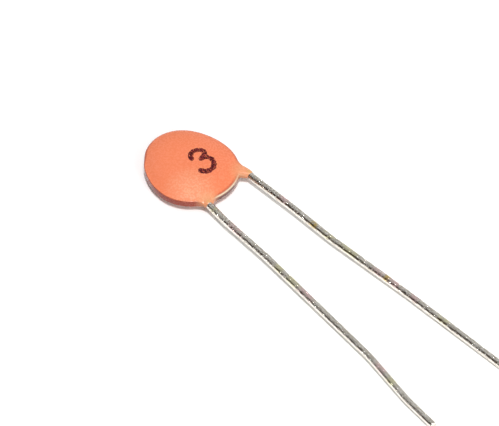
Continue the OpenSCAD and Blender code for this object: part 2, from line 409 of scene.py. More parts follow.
@dataclass(frozen=True)
class ResinFinish:
    """Dipped orange resin: satin gloss, faint mottle, paler and yellower where it is thin; a pale patch on
    the face is painted sheen, the dark upright wall and the dark band under the edge between the leads are
    painted shade, and a cream line along that edge is a painted highlight.
    """

    main: tuple = hexed(249, 136, 94)
    warm: tuple = hexed(244, 130, 82)
    pale: tuple = hexed(240, 166, 120)
    thin: tuple = hexed(222, 176, 104)
    # Painted sheen: pale tone for the soft reflection of the light on the lower middle of the face.
    painted_sheen: tuple = hexed(252, 166, 128)
    # Painted shade: dark red-brown tone for the upright wall of the rim.
    wall_shade: tuple = hexed(158, 42, 26)
    # Painted highlight: cream tone along the top of the edge between the leads.
    edge_highlight: tuple = hexed(255, 240, 206)
    # Painted shade: dark tone on the wall below the painted highlight between the leads.
    shade: tuple = hexed(72, 38, 30)
    fleck: tuple = hexed(252, 204, 160)
    dot: tuple = hexed(226, 108, 66)
    sheen_at: tuple = (-9.88, -2.1, 1.2)
    sheen_reach: float = 1.9
    sheen_core: float = 0.25
    sheen_share: float = 0.52
    warm_share: float = 0.5
    fleck_share: float = 0.05
    fleck_in_sheen: float = 0.28
    dot_share: float = 0.12
    wall_shade_share: float = 0.85
    shade_share: float = 0.8
    thin_share: float = 0.8
    pale_from: float = 0.3
    pale_to: float = 0.7
    thin_from: float = 0.86
    thin_to: float = 1.0
    roughness: float = 0.28
    smoother: float = 0.05
    rougher: float = 0.08
    grain_share: float = 0.12
    bump: float = 0.35
    depth: float = 0.02
    ior: float = 1.47

    def make(self, effects: SharedEffects) -> bpy.types.Material:
        """Builds the material.

        Args:
            effects: Shared node groups.

        Returns:
            The material.
        """
        material, sheet = start_material("orange_resin")
        place = millimetres(sheet)
        cover = sheet.put("Attribute", attribute_name="thin").outputs["Fac"]
        broad = effects.patches(sheet, place, scale=0.55, detail=2.0, low=0.3, high=0.7)
        fine = effects.patches(sheet, place, scale=8.0, detail=3.0, low=0.45, high=0.62)
        dots = effects.dots(sheet, place, scale=3.2, size=0.12, share=0.2)
        # Painted sheen: a pale patch round a point on the face stands in for the light's soft reflection
        # there.
        centre = sheet.put("VectorMath", {0: place, 1: self.sheen_at}, operation="DISTANCE")
        painted_sheen = sheet.stretch(centre.outputs["Value"], self.sheen_reach, self.sheen_reach * self.sheen_core)
        colour = sheet.mixed(sheet.maths("MULTIPLY", broad, self.warm_share), self.main, self.warm)
        colour = sheet.mixed(sheet.maths("MULTIPLY", painted_sheen, self.sheen_share), colour, self.painted_sheen)
        # Pale flecks all over, with more of them inside the painted sheen, where they are painted glints.
        share = sheet.maths("MULTIPLY_ADD", painted_sheen, self.fleck_in_sheen, self.fleck_share)
        colour = sheet.mixed(sheet.maths("MULTIPLY", fine, share), colour, self.fleck)
        colour = sheet.mixed(sheet.maths("MULTIPLY", dots, self.dot_share), colour, self.dot)
        # Painted shade on the upright wall of the rim, clear of the collars.
        wall_shade_mask = sheet.put("Attribute", attribute_name="rim").outputs["Fac"]
        colour = sheet.mixed(sheet.maths("MULTIPLY", wall_shade_mask, self.wall_shade_share), colour, self.wall_shade)
        # Painted shade on the wall below the painted highlight.
        under_edge_shade = sheet.put("Attribute", attribute_name="shade").outputs["Fac"]
        colour = sheet.mixed(sheet.maths("MULTIPLY", under_edge_shade, self.shade_share), colour, self.shade)
        # Painted highlight: a cream line along the top of the edge between the leads.
        edge = sheet.put("Attribute", attribute_name="edge").outputs["Fac"]
        colour = sheet.mixed(edge, colour, self.edge_highlight)
        share = sheet.stretch(cover, self.pale_from, self.pale_to, 0.0, self.thin_share)
        colour = sheet.mixed(share, colour, self.pale)
        share = sheet.stretch(cover, self.thin_from, self.thin_to, 0.0, self.thin_share)
        colour = sheet.mixed(share, colour, self.thin)
        low, high = self.roughness - self.smoother, self.roughness + self.rougher
        rough = sheet.stretch(fine, 0.0, 1.0, low, high)
        wave = sheet.put("TexNoise", {"Vector": place, "Scale": 3.0, "Detail": 2.0}).outputs[0]
        grain = sheet.put("TexNoise", {"Vector": place, "Scale": 22.0, "Detail": 3.0}).outputs[0]
        height = sheet.maths("MULTIPLY_ADD", grain, self.grain_share, wave)
        bump = sheet.put("Bump", {"Height": height, "Strength": self.bump, "Distance": self.depth * MM})
        finish_material(
            sheet,
            {"Base Color": colour, "Roughness": rough, "Normal": bump.outputs[0], "IOR": self.ior},
        )
        return material


@dataclass(frozen=True)
class TinFinish:
    """Drawn and tinned wire: streaked, faintly tarnished, with small bright facets."""

    bright: tuple = hexed(247, 244, 237)
    dull: tuple = hexed(224, 219, 208)
    olive: tuple = hexed(227, 222, 188)
    rose: tuple = hexed(233, 207, 203)
    brown: tuple = hexed(218, 192, 122)
    stain: tuple = hexed(150, 134, 114)
    grit: float = 13.0
    lumps: float = 11.0
    depth: float = 0.022
    dimple: float = -1.8
    broad: float = 2.0
    drawn_ratio: float = 0.22
    grit_share: float = 0.6
    tint_core: float = 0.3
    tint_low: float = 0.02
    tint_high: float = 0.12
    blotch_share: float = 0.5
    rough_span: float = 1.5
    smoothest: float = 0.06
    roughest: float = 0.2

    def tarnish(self) -> tuple[tuple[float, float, tuple], ...]:
        """Tinted stretches: place along the straightened wires, reach in mm and tint."""
        return (
            (4.1, 0.5, self.rose), (6.95, 0.45, self.brown), (8.3, 0.6, self.olive),
            (10.2, 1.2, self.olive), (12.7, 0.7, self.rose), (13.4, 0.3, self.brown),
            (14.1, 0.8, self.rose), (15.8, 0.5, self.rose), (18.4, 0.6, self.olive),
            (41.0, 0.5, self.olive), (43.2, 0.9, self.rose), (47.4, 0.5, self.olive),
            (48.9, 0.8, self.olive), (50.2, 0.9, self.rose), (58.0, 0.7, self.rose),
            (59.2, 0.6, self.olive),
        )

    def make(self, effects: SharedEffects) -> bpy.types.Material:
        """Builds the material.

        Args:
            effects: Shared node groups.

        Returns:
            The material.
        """
        material, sheet = start_material("tinned_wire")
        drawn = sheet.put("Attribute", attribute_name="drawn").outputs["Vector"]
        long = sheet.put("Mapping", {0: drawn, 3: (1.0, 1.0, self.drawn_ratio)}).outputs[0]
        streak = effects.patches(sheet, long, scale=9.0, detail=4.0, low=0.35, high=0.65)
        blotch = effects.patches(sheet, drawn, scale=2.6, detail=4.0, low=0.38, high=0.62)
        cloud = effects.patches(sheet, drawn, scale=2.2, detail=3.0, low=0.3, high=0.55)
        parts = sheet.put("SeparateXYZ", {0: drawn}).outputs
        along, upper = parts[2], sheet.stretch(parts[1], self.tint_low, self.tint_high)
        cloud = sheet.maths("MULTIPLY", cloud, upper)
        grit = effects.patches(sheet, drawn, scale=self.grit, detail=2.0, low=0.46, high=0.6)
        colour = sheet.mixed(streak, self.dull, self.bright)
        share = sheet.maths("MULTIPLY", grit, self.grit_share)
        colour = sheet.mixed(share, colour, self.stain)
        for middle, reach, tint in self.tarnish():
            off = sheet.maths("ABSOLUTE", sheet.maths("SUBTRACT", along, middle))
            share = sheet.maths("MULTIPLY", sheet.stretch(off, reach, reach * self.tint_core), cloud)
            colour = sheet.mixed(share, colour, tint)
        weight = sheet.maths("MULTIPLY_ADD", blotch, self.blotch_share, grit)
        rough = sheet.stretch(weight, 0.0, self.rough_span, self.smoothest, self.roughest)
        lumps = sheet.put("TexNoise", {"Vector": drawn, "Scale": self.lumps, "Detail": 3.0}).outputs[0]
        broad = sheet.put("TexNoise", {"Vector": drawn, "Scale": 2.5, "Detail": 2.0}).outputs[0]
        dimples = effects.dots(sheet, drawn, scale=10.0, size=0.4, share=0.35)
        height = sheet.maths("MULTIPLY_ADD", broad, self.broad, lumps)
        height = sheet.maths("MULTIPLY_ADD", dimples, self.dimple, height)
        bump = sheet.put("Bump", {"Height": height, "Strength": 1.0, "Distance": self.depth * MM})
        finish_material(
            sheet,
            {"Base Color": colour, "Roughness": rough, "Normal": bump.outputs[0], "Metallic": 1.0},
        )
        return material


@dataclass(frozen=True)
class InkFinish:
    """Stamped ink: dark plum, broken up by lighter flecks."""

    dark: tuple = hexed(48, 2, 12)
    plum: tuple = hexed(102, 22, 38)
    fleck: tuple = hexed(230, 112, 82)
    fleck_share: float = 0.7
    smoothest: float = 0.62
    roughest: float = 0.75
    specular: float = 0.12
    bump: float = 0.3
    depth: float = 0.005

    def make(self, effects: SharedEffects) -> bpy.types.Material:
        """Builds the material.

        Args:
            effects: Shared node groups.

        Returns:
            The material.
        """
        material, sheet = start_material("stamped_ink")
        place = millimetres(sheet)
        cloud = effects.patches(sheet, place, scale=6.0, detail=3.0, low=0.4, high=0.62)
        grain = effects.patches(sheet, place, scale=11.0, detail=2.0, low=0.54, high=0.62)
        colour = sheet.mixed(cloud, self.dark, self.plum)
        colour = sheet.mixed(sheet.maths("MULTIPLY", grain, self.fleck_share), colour, self.fleck)
        bump = sheet.put("Bump", {"Height": grain, "Strength": self.bump, "Distance": self.depth * MM})
        finish_material(
            sheet,
            {
                "Base Color": colour,
                "Roughness": sheet.stretch(grain, 0, 1, self.smoothest, self.roughest),
                "Normal": bump.outputs[0],
                "Specular IOR Level": self.specular,
            },
        )
        return material


@dataclass(frozen=True)
class GrainFinish:
    """Plain finish of a hidden inner piece: two close tones, grain and a light bump."""

    name: str
    first: tuple
    second: tuple
    metallic: float
    roughness: float
    scale: float
    rougher: float = 0.12
    dot_ratio: float = 0.6
    bump: float = 0.3
    depth: float = 0.01

    def make(self, effects: SharedEffects) -> bpy.types.Material:
        """Builds the material.

        Args:
            effects: Shared node groups.

        Returns:
            The material.
        """
        material, sheet = start_material(self.name)
        place = millimetres(sheet)
        grain = effects.patches(sheet, place, scale=self.scale, detail=4.0, low=0.35, high=0.65)
        dots = effects.dots(sheet, place, scale=self.scale * self.dot_ratio, size=0.2, share=0.3)
        colour = sheet.mixed(grain, self.first, self.second)
        rough = sheet.stretch(grain, 0.0, 1.0, self.roughness, self.roughness + self.rougher)
        height = sheet.maths("SUBTRACT", grain, dots)
        bump = sheet.put("Bump", {"Height": height, "Strength": self.bump, "Distance": self.depth * MM})
        finish_material(
            sheet,
            {
                "Base Color": colour,
                "Roughness": rough,
                "Normal": bump.outputs[0],
                "Metallic": self.metallic,
            },
        )
        return material


CERAMIC = GrainFinish("sintered_ceramic", hexed(226, 216, 196), hexed(214, 200, 176), 0.0, 0.6, 9.0)
SILVER = GrainFinish("fired_silver", hexed(214, 213, 208), hexed(198, 197, 190), 1.0, 0.4, 12.0)
SOLDER = GrainFinish("frosted_solder", hexed(196, 198, 202), hexed(168, 170, 174), 1.0, 0.28, 5.0)
INNER_FINISHES = {
    "ceramic_disc": CERAMIC,
    "top_electrode": SILVER,
    "bottom_electrode": SILVER,
    "top_solder": SOLDER,
    "bottom_solder": SOLDER,
}


def made_object(
    name: str, bm: bmesh.types.BMesh, axis: Vector, material: bpy.types.Material, sharp: float
) -> bpy.types.Object:
    """Turns a bmesh in mm about the disc's middle into a piece in the row frame.

    Args:
        name: Name of the piece.
        bm: Its mesh, which is freed.
        axis: Middle of the disc in metres.
        material: Its finish.
        sharp: Angle in degrees over which an edge stays crisp.

    Returns:
        The piece, linked to the scene.
    """
    bmesh.ops.recalc_face_normals(bm, faces=bm.faces)
    bmesh.ops.scale(bm, vec=(MM,) * 3, verts=bm.verts)
    bmesh.ops.translate(bm, vec=axis, verts=bm.verts)
    for face in bm.faces:
        face.smooth = True
    mesh = bpy.data.meshes.new(name)
    bm.to_mesh(mesh)
    bm.free()
    mesh.set_sharp_from_angle(angle=math.radians(sharp))
    mesh.materials.append(material)
    piece = bpy.data.objects.new(name, mesh)
    bpy.context.scene.collection.objects.link(piece)
    return piece


@dataclass
class DippedCoat:
    """Resin envelope round the disc, with a collar along each lead."""

    leads: tuple[LeadPlan, LeadPlan]
    levels: Levels = Levels()
    radius: float = 3.06
    stretch: float = 0.135
    stretch_turn: float = 1.0
    lobe: float = 0.09
    lobe_turn: float = 54.0
    shift: tuple[float, float] = (0.11, -0.03)
    flats: tuple[tuple[float, float], ...] = ((269.5, 0.57), (226.0, 0.57))
    flat_soft: float = 0.06
    shoulder: float = 0.12
    rim_round: float = 0.05
    face_power: float = 4.0
    collar_blend: float = 0.55
    collar_steps: int = 6
    columns: int = 460
    round_rings: int = 8
    face_rings: int = 16
    ring_power: float = 1.4
    ripple: float = 0.008
    hair: float = 0.004
    soft_round: float = 0.2
    under_round: float = 0.12
    sharp_turn: float = -75.0
    sharp_spread: float = 52.0
    sharp_fade: float = 22.0
    # Sector, height band and fades of the painted highlight along the edge between the leads; shade_fade
    # sets the painted shade below it.
    highlight_turn: float = 14.0
    highlight_spread: float = 32.0
    highlight_middle: float = 0.3
    highlight_reach: float = 0.35
    highlight_soft: float = 0.3
    highlight_fade: float = 5.0
    shade_fade: float = 0.05
    thin_reach: float = 0.9
    search_step: float = 0.04
    search_halvings: int = 14
    outline_step: float = 0.5
    merge: float = 0.0005
    sharp: float = 60.0
    paths: list[list[Vector]] = field(default_factory=list)

    def __post_init__(self) -> None:
        """Lays the collars along their leads."""
        nose = math.sqrt(self.levels.rim**2 - self.levels.wire_radius**2)
        inward = self.levels.step_length + self.levels.blade_length / 2
        for lead in self.leads:
            reach = lead.collar - nose
            marks = range(self.collar_steps, -1, -1)
            steps = [lead.place(reach * i / self.collar_steps) for i in marks]
            self.paths.append(steps + [lead.root - heading(lead.root_turn) * inward])

    def disc_depth(self, point: Vector) -> float:
        """Depth of a point inside the dipped disc, without its collars."""
        place = point + Vector(self.shift)
        turn = math.degrees(math.atan2(place.y, place.x))
        depth = (
            self.radius
            + self.stretch * math.cos(math.radians(2 * (turn - self.stretch_turn)))
            + self.lobe * math.cos(math.radians(3 * (turn - self.lobe_turn)))
            - place.length
        )
        for flat_turn, side in self.flats:
            cut = self.levels.ceramic_radius + side - place.dot(heading(flat_turn))
            depth = soft_min(depth, cut, self.flat_soft)
        return depth

    def collar_depth(self, point: Vector) -> float:
        """Depth of a point inside the nearer collar."""
        best = -math.inf
        for path in self.paths:
            for start, end in zip(path, path[1:]):
                run = end - start
                part = max(0.0, min(1.0, (point - start).dot(run) / run.length_squared))
                best = max(best, self.levels.rim - (point - start - run * part).length)
        return best

    def depth(self, point: Vector) -> float:
        """Depth of a point inside the whole outline."""
        return soft_max(self.disc_depth(point), self.collar_depth(point), self.collar_blend)

    def collar_share(self, point: Vector) -> float:
        """How far a point belongs to a collar, from 0 to 1."""
        lead = self.collar_depth(point) - self.disc_depth(point)
        return blend(0, 1, 0.5 + lead / self.collar_blend)

    def rise(self, point: Vector) -> float:
        """Height of a face over the flat band inside the rim."""
        inside = soft_max(self.disc_depth(point) - self.shoulder, 0.0, self.shoulder)
        share = max(0.0, 1 - inside / (self.radius - self.shoulder))
        return (self.levels.face - self.levels.rim) * (1 - share**self.face_power)

    def reach(self, turn: float, depth: float, start: float) -> float:
        """Distance from the axis, from outside in, where the coat gets a given depth.

        Args:
            turn: Direction from the axis in degrees.
            depth: Depth to look for.
            start: Distance at which to begin.

        Returns:
            The distance.
        """
        ray, inner = heading(turn), start
        while self.depth(ray * inner) <= depth and inner > 0:
            inner -= self.search_step
        outer = inner + self.search_step
        for _ in range(self.search_halvings):
            middle = (inner + outer) / 2
            if self.depth(ray * middle) > depth:
                inner = middle
            else:
                outer = middle
        return (inner + outer) / 2

    def rounding(self, turn: float) -> float:
        """Radius of the rim's edge: tight on one side, soft elsewhere."""
        off = abs((turn - self.sharp_turn + 180) % 360 - 180)
        return blend(self.rim_round, self.soft_round, (off - self.sharp_spread) / self.sharp_fade)

    def turns(self) -> list[float]:
        """Directions of the columns, evenly spread along the outline."""
        half = round(180 / self.outline_step)
        fine = [i * self.outline_step for i in range(-half, half + 1)]
        start = max(path[0].length for path in self.paths) + 2 * self.levels.rim
        points = [heading(turn) * self.reach(turn, 0.0, start) for turn in fine]
        gone = [0.0]
        for before, after in zip(points, points[1:]):
            gone.append(gone[-1] + (after - before).length)
        spread, index = [], 0
        for i in range(self.columns):
            aim = gone[-1] * i / self.columns
            while gone[index + 1] < aim:
                index += 1
            part = (aim - gone[index]) / (gone[index + 1] - gone[index])
            spread.append(fine[index] + (fine[index + 1] - fine[index]) * part)
        return spread

    def column(self, turn: float, under: bool) -> list[Vector]:
        """Points from the outline over the rounding to near the middle of a face.

        Args:
            turn: Direction from the axis in degrees.
            under: Whether the face is the lower one, whose edge is softer all round.

        Returns:
            The points, as if the face were the upper one.
        """
        start = max(path[0].length for path in self.paths) + 2 * self.levels.rim
        edge = self.reach(turn, 0.0, start)
        ray = heading(turn)
        share = self.collar_share(ray * edge)
        free = self.under_round if under else self.rounding(turn)
        rounding = blend(free, self.levels.rim - self.hair, share)
        lift = self.levels.rim - rounding
        points, last = [(ray * edge).to_3d()], edge
        for i in range(self.round_rings + 1):
            angle = math.radians(90 * i / self.round_rings)
            last = self.reach(turn, rounding * (1 - math.cos(angle)), last + 0.01) if i else edge
            spot = ray * last
            points.append(Vector((spot.x, spot.y, lift + rounding * math.sin(angle) + self.rise(spot))))
        for i in range(1, self.face_rings + 1):
            spot = ray * last * (1 - (i / (self.face_rings + 1)) ** self.ring_power)
            points.append(Vector((spot.x, spot.y, self.levels.rim + self.rise(spot))))
        return points

    def surface(self, point: Vector) -> float:
        """Height of the rippled upper face at a point well inside the outline."""
        return self.levels.rim + self.rise(point) - self.sag(point.to_3d())

    def sag(self, point: Vector) -> float:
        """How far the resin sinks below its full shape at a point."""
        return self.ripple * (0.7 + 0.3 * noise.noise(Vector((point.x, point.y, 4.0)) * 1.3))

    def build(self, axis: Vector, material: bpy.types.Material) -> bpy.types.Object:
        """Builds the coat from two domed halves that meet at the outline.

        Args:
            axis: Middle of the disc in metres.
            material: Resin finish.

        Returns:
            The coat.
        """
        turns = self.turns()
        bm = bmesh.new()
        for under in (False, True):
            self._half(bm, [self.column(turn, under) for turn in turns], under)
        bmesh.ops.remove_doubles(bm, verts=bm.verts, dist=self.merge)
        self._mark(bm)
        piece = made_object("dipped_coat", bm, axis, material, self.sharp)
        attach(piece, "root")
        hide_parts("coating")
        return piece

    def _half(self, bm: bmesh.types.BMesh, columns: list[list[Vector]], under: bool) -> None:
        """Grows one half of the coat from the outline to the middle of its face.

        Args:
            bm: Mesh that takes the half.
            columns: Points of each column, from the outline inwards.
            under: Whether the half is the lower one.
        """
        ring = bmesh.ops.create_circle(bm, segments=self.columns, radius=1.0)["verts"]
        ring.sort(key=lambda vert: math.atan2(vert.co.y, vert.co.x))
        edges = list({edge for vert in ring for edge in vert.link_edges})
        made = list(ring)
        place = {vert: index for index, vert in enumerate(ring)}
        for vert, index in place.items():
            vert.co = columns[index][0]
        for row in range(1, len(columns[0])):
            out = bmesh.ops.extrude_edge_only(bm, edges=edges)["geom"]
            edges = [item for item in out if isinstance(item, bmesh.types.BMEdge)]
            fresh: dict[bmesh.types.BMVert, int] = {}
            for vert in (item for item in out if isinstance(item, bmesh.types.BMVert)):
                for edge in vert.link_edges:
                    other = edge.other_vert(vert)
                    if other in place:
                        fresh[vert] = place[other]
            for vert, index in fresh.items():
                vert.co = columns[index][row]
            made += list(fresh)
            place = fresh
        cap = bmesh.ops.holes_fill(bm, edges=edges, sides=0)["faces"]
        middle = bmesh.ops.poke(bm, faces=cap)["verts"]
        for vert in middle:
            vert.co = Vector((0.0, 0.0, self.levels.face))
        for vert in made + list(middle):
            if vert.co.z > 0.05:
                vert.co.z -= self.sag(vert.co)
            if under:
                vert.co.z *= -1

    def _mark(self, bm: bmesh.types.BMesh) -> None:
        """Stores where the resin is thin over wire, where its upright wall gets painted shade, where its
        edge gets a painted highlight and where painted shade falls below that highlight.

        Args:
            bm: Mesh of the whole coat, whose "thin", "rim", "edge" and "shade" layers are filled.
        """
        thin = bm.verts.layers.float.new("thin")
        rim = bm.verts.layers.float.new("rim")
        edge = bm.verts.layers.float.new("edge")
        shade = bm.verts.layers.float.new("shade")
        for vert in bm.verts:
            spot = Vector(vert.co.xy)
            best = 0.0
            for lead, path in zip(self.leads, self.paths):
                away = (spot - path[0]).length
                best = max(best, 1 - away / (lead.collar + self.thin_reach))
            vert[thin] = max(0.0, best)
            turn = math.degrees(math.atan2(spot.y, spot.x))
            round_here = self.under_round if vert.co.z < 0 else self.rounding(turn)
            clear = 1 - self.collar_share(spot)
            # Painted shade on the upright wall, faded out on the collars.
            vert[rim] = blend(1, 0, self.depth(spot) / round_here) * clear
            # Painted highlight: a band of height on the edge's rounding, in the sector between the leads.
            share = (vert.co.z - self.levels.rim + round_here) / round_here
            weight = blend(1, 0, abs(share - self.highlight_middle) / self.highlight_reach - self.highlight_soft)
            off = abs(turn - self.highlight_turn)
            near = blend(1, 0, (off - self.highlight_spread) / self.highlight_fade) * clear
            vert[edge] = weight * near
            # Painted shade on the wall under the painted highlight.
            low = self.levels.rim - self.soft_round * (1 + self.highlight_reach)
            vert[shade] = blend(1, 0, (vert.co.z - low) / self.shade_fade) * near * vert[rim]


@dataclass
class TinnedLead:
    """One lead: round wire, pressed flat where it is soldered to the disc."""

    name: str
    node: str
    plan: LeadPlan
    levels: Levels = Levels()
    around: int = 40
    spacing: float = 0.1
    lump: float = 0.004
    chamfer: float = 0.04
    hair: float = 0.003
    flat_start: float = 0.05
    flat_parts: int = 12
    step_parts: int = 6
    round_power: float = 2.0
    flat_power: float = 9.0
    sharp: float = 40.0
    seed: float = 0.0

    def stations(self) -> list[float]:
        """Distances from the root of the wire's sections, in order."""
        levels = self.levels
        start = -(levels.step_length + levels.blade_length)
        tip = [start + levels.blade_half * (1 - math.cos(math.radians(a))) for a in range(6, 91, 7)]
        flat_end = -levels.step_length
        flat_from = start + levels.blade_half + self.flat_start
        flat = [
            flat_from + i * (flat_end - start - levels.blade_half - self.flat_start) / self.flat_parts
            for i in range(self.flat_parts + 1)
        ]
        step = [
            flat_end + levels.step_length * i / self.step_parts for i in range(1, self.step_parts + 1)
        ]
        length = self.plan.length - self.hair
        count = int((length - self.chamfer) / self.spacing)
        run = [(length - self.chamfer) * i / count for i in range(1, count + 1)]
        return tip + flat + step + run + [length]

    def section(self, distance: float) -> tuple[float, float, float, float]:
        """Form of the section: half width, half height, height of its middle and squareness.

        Args:
            distance: Distance from the root.

        Returns:
            The four measures, in mm and as a power.
        """
        levels = self.levels
        radius = levels.wire_radius
        if distance >= 0:
            end = max(0.0, distance - (self.plan.length - self.hair - self.chamfer))
            return radius - end, radius - end, 0.0, self.round_power
        share = min(1.0, -distance / levels.step_length)
        half = (levels.blade_high - levels.blade_low) / 2
        middle = (levels.blade_high + levels.blade_low) / 2 * self.plan.side.value
        width = blend(radius, levels.blade_half, share)
        start = -(levels.step_length + levels.blade_length)
        from_tip = distance - start
        if from_tip < levels.blade_half:
            width = math.sqrt(max(0.0, levels.blade_half**2 - (levels.blade_half - from_tip) ** 2))
        power = blend(self.round_power, self.flat_power, share)
        return width, blend(radius, half, share), middle * share, power

    def ring(self, distance: float) -> list[tuple[Vector, Vector]]:
        """Points of one section, each with its place on the straightened wire."""
        offset, turn = self.plan.walk(distance)
        droop = self.plan.droop if distance > 0 else 0.0
        root = self.plan.root
        turned = Matrix.Rotation(droop, 3, "Y")
        middle = turned @ offset.to_3d()
        across = turned @ heading(turn + 90).to_3d()
        up = turned @ Vector((0, 0, 1))
        wide, high, level, power = self.section(distance)
        points = []
        for i in range(self.around):
            angle = 2 * math.pi * (i + 0.5) / self.around
            c, s = math.cos(angle), math.sin(angle)
            size = (abs(c) ** power + abs(s) ** power) ** (-1 / power)
            x, z = wide * c * size, high * s * size
            if distance > 0:
                seat = Vector((c * 1.5, s * 1.5, distance * 1.1 + self.seed))
                dent = self.lump * (0.5 + 0.5 * noise.noise(seat * 1.4))
                x, z = x - c * dent, z - s * dent
            place = middle + across * x + up * (z + level)
            points.append((place + root.to_3d(), Vector((x, z, distance + self.seed))))
        return points

    def build(self, axis: Vector, material: bpy.types.Material) -> bpy.types.Object:
        """Sweeps the sections along the route.

        Args:
            axis: Middle of the disc in metres.
            material: Tin finish.

        Returns:
            The lead.
        """
        bm = bmesh.new()
        layer = bm.verts.layers.float_vector.new("drawn")
        start = bmesh.ops.create_circle(bm, segments=self.around, radius=1.0)["verts"]
        ring = sorted(start, key=lambda vert: math.atan2(vert.co.y, vert.co.x) % (2 * math.pi))
        rows = [self.ring(distance) for distance in self.stations()]
        for vert, (place, drawn) in zip(ring, rows[0]):
            vert.co, vert[layer] = place, drawn
        edges = list(bm.edges)
        for row in rows[1:]:
            out = bmesh.ops.extrude_edge_only(bm, edges=edges)["geom"]
            edges = [item for item in out if isinstance(item, bmesh.types.BMEdge)]
            fresh = {item for item in out if isinstance(item, bmesh.types.BMVert)}
            ring = [
                next(e.other_vert(vert) for e in vert.link_edges if e.other_vert(vert) in fresh)
                for vert in ring
            ]
            for vert, (place, drawn) in zip(ring, row):
                vert.co, vert[layer] = place, drawn
        bmesh.ops.holes_fill(bm, edges=bm.edges, sides=0)
        piece = made_object(self.name, bm, axis, material, self.sharp)
        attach(piece, "root")
        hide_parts(self.node)
        return piece


@dataclass
class StampedFigure:
    """Plain figure three, stamped in ink on the upper face, with a ragged edge."""

    coat: DippedCoat
    strokes: tuple[tuple[tuple[float, float], ...], ...]
    half_width: float = 0.175
    cell: float = 0.02
    height: float = 0.003
    sunk: float = 0.012
    ragged: float = 0.05
    missed: float = -0.52
    margin: float = 0.3
    smoothings: int = 2
    sharp: float = 60.0

    def distance(self, point: Vector) -> float:
        """Distance of a point from the middle line of the strokes."""
        best = math.inf
        for stroke in self.strokes:
            for first, second in zip(stroke, stroke[1:]):
                start, run = Vector(first), Vector(second) - Vector(first)
                part = max(0.0, min(1.0, (point - start).dot(run) / run.length_squared))
                best = min(best, (point - start - run * part).length)
        return best

    def inked(self, point: Vector) -> bool:
        """Whether the stamp left ink at a point."""
        seat = Vector((point.x, point.y, 7.0))
        edge = self.ragged * (noise.noise(seat * 9.0) + 0.5 * noise.noise(seat * 21.0))
        hole = noise.noise(seat * 13.0 + Vector((5, 5, 5)))
        return self.distance(point) < self.half_width + edge and hole > self.missed

    def build(self, axis: Vector, material: bpy.types.Material) -> bpy.types.Object:
        """Cuts the figure from a fine sheet and lays it on the domed face.

        Args:
            axis: Middle of the disc in metres.
            material: Ink finish.

        Returns:
            The figure.
        """
        spots = [Vector(point) for stroke in self.strokes for point in stroke]
        low = Vector((min(p.x for p in spots), min(p.y for p in spots)))
        high = Vector((max(p.x for p in spots), max(p.y for p in spots)))
        middle, half = (low + high) / 2, (high - low) / 2 + Vector((self.margin, self.margin))
        bm = bmesh.new()
        across, down = int(2 * half.x / self.cell), int(2 * half.y / self.cell)
        bmesh.ops.create_grid(bm, x_segments=across, y_segments=down, size=1.0)
        bmesh.ops.scale(bm, vec=(half.x, half.y, 1), verts=bm.verts)
        bmesh.ops.translate(bm, vec=middle.to_3d(), verts=bm.verts)
        bare = [face for face in bm.faces if not self.inked(Vector(face.calc_center_median().xy))]
        bmesh.ops.delete(bm, geom=bare, context="FACES")
        while pinched := [v for v in bm.verts if sum(e.is_boundary for e in v.link_edges) > 2]:
            doomed = {face for vert in pinched for face in vert.link_faces}
            bmesh.ops.delete(bm, geom=list(doomed), context="FACES")
        rim = [vert for vert in bm.verts if vert.is_boundary]
        for _ in range(self.smoothings):
            bmesh.ops.smooth_vert(bm, verts=rim, factor=0.5, use_axis_x=True, use_axis_y=True)
        for vert in bm.verts:
            vert.co.z = self.coat.surface(Vector(vert.co.xy)) - self.sunk
        out = bmesh.ops.extrude_face_region(bm, geom=list(bm.faces))["geom"]
        raised = [item for item in out if isinstance(item, bmesh.types.BMVert)]
        bmesh.ops.translate(bm, vec=(0, 0, self.sunk + self.height), verts=raised)
        piece = made_object("stamped_figure", bm, axis, material, self.sharp)
        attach(piece, "root")
        return piece


